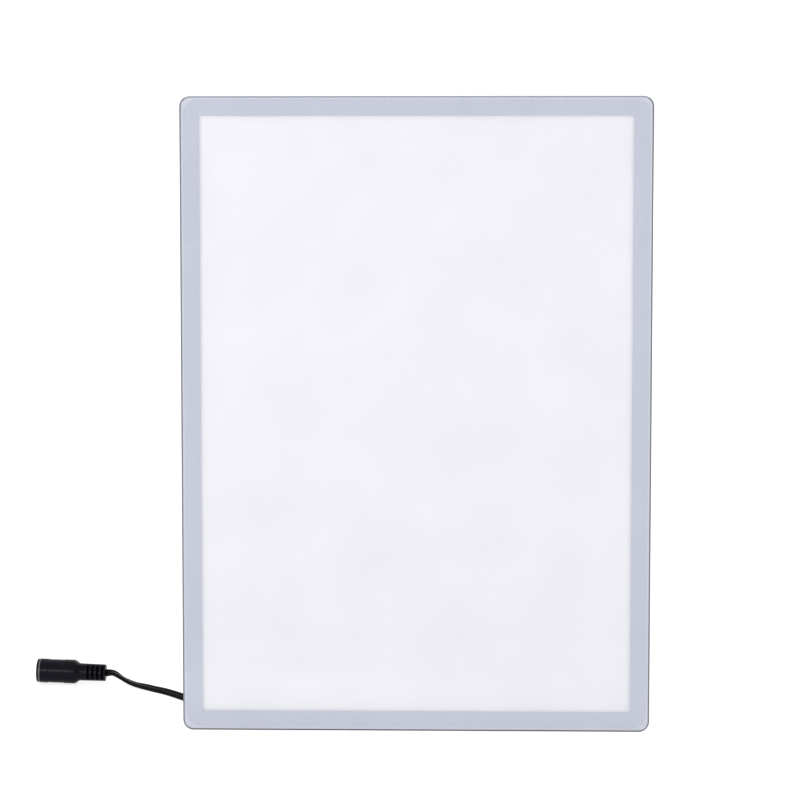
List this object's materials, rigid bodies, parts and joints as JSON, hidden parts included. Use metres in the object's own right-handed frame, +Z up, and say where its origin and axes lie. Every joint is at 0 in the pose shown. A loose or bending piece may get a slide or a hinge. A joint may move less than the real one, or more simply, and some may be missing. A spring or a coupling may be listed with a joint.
{
  "type": "illuminated acrylic table stand",
  "caption": "Slim edge-lit acrylic display panel with a silver-bordered lift-off front sheet, a fold-out rear leg, rubber feet and a short flat lead that ends in an inline DC jack.",
  "frame": {"origin": "middle of the footprint on the table, without the lead: halfway between the front sheet's lowest edge and the back of the leg's foot", "axes": "+X to the viewer's right, +Y away from the viewer, +Z up from the table"},
  "size_m": [0.3079, 0.0928, 0.3022],
  "materials": {
    "clear_acrylic": "polished clear acrylic sheet",
    "silver_print": "silver screen-printed film",
    "magnet_nickel": "nickel-plated magnet",
    "anodised_aluminium": "satin anodised extrusion",
    "zinc_casting": "die-cast zinc",
    "steel_screw": "zinc-plated steel",
    "steel_strip": "cold-rolled steel strip",
    "opal_acrylic": "white opal diffuser",
    "guide_acrylic": "dotted light guide",
    "reflector_film": "white reflector film",
    "foam": "closed-cell foam",
    "board_white": "white solder mask",
    "led_phosphor": "LED phosphor",
    "wire_insulation": "PVC wire insulation",
    "back_sheet": "white back sheet, fine satin",
    "foot_rubber": "moulded rubber",
    "bracket_steel": "zinc-plated pressing",
    "leg_aluminium": "satin anodised pressing",
    "lead_pvc": "black flexible PVC",
    "jack_plastic": "black moulded plastic",
    "contact_metal": "nickel-plated contact"
  },
  "bodies": {
    "housing": {"rail_left": "anodised_aluminium", "rail_right": "anodised_aluminium", "rail_top": "anodised_aluminium", "rail_bottom": "anodised_aluminium", "corner_keys": "zinc_casting", "corner_screws": "steel_screw", "keeper_strips": "steel_strip", "screw_blocks": "zinc_casting", "diffuser_sheet": "opal_acrylic", "light_guide": "guide_acrylic", "reflector_sheet": "reflector_film", "pressure_pads": "foam", "led_board_left": "board_white", "led_board_right": "board_white", "leds_left": "led_phosphor", "leds_right": "led_phosphor", "lead_wires_left": "wire_insulation", "lead_wires_right": "wire_insulation", "back_panel": "back_sheet", "back_screws": "steel_screw", "foot_pads": "foot_rubber", "hinge_backplate": "steel_strip", "hinge_bracket": "bracket_steel", "bracket_screws": "steel_screw", "hinge_pin": "steel_screw", "pin_clip": "steel_strip", "hinge_washers": "steel_screw", "cord_grommet": "foot_rubber", "power_cord": "lead_pvc", "jack_shell": "jack_plastic", "jack_insert": "jack_plastic", "jack_sleeve": "contact_metal", "jack_pin": "contact_metal"},
    "front_cover": {"cover_sheet": "clear_acrylic", "border_print": "silver_print", "cover_magnets": "magnet_nickel"},
    "stand_leg": {"leg_strut": "leg_aluminium", "leg_foot": "foot_rubber"}
  },
  "joints": [
    {"name": "leg_swing", "type": "hinge", "parent": "housing", "child": "stand_leg", "pos_m": [0, 0.01082, 0.20923], "axis": [1, 0, 0], "range_deg": [-18.69, 0]},
    {"name": "cover_lift", "type": "slide", "parent": "housing", "child": "front_cover", "axis": [0, -0.9848, 0.1736], "range_m": [0, 0.06]}
  ]
}
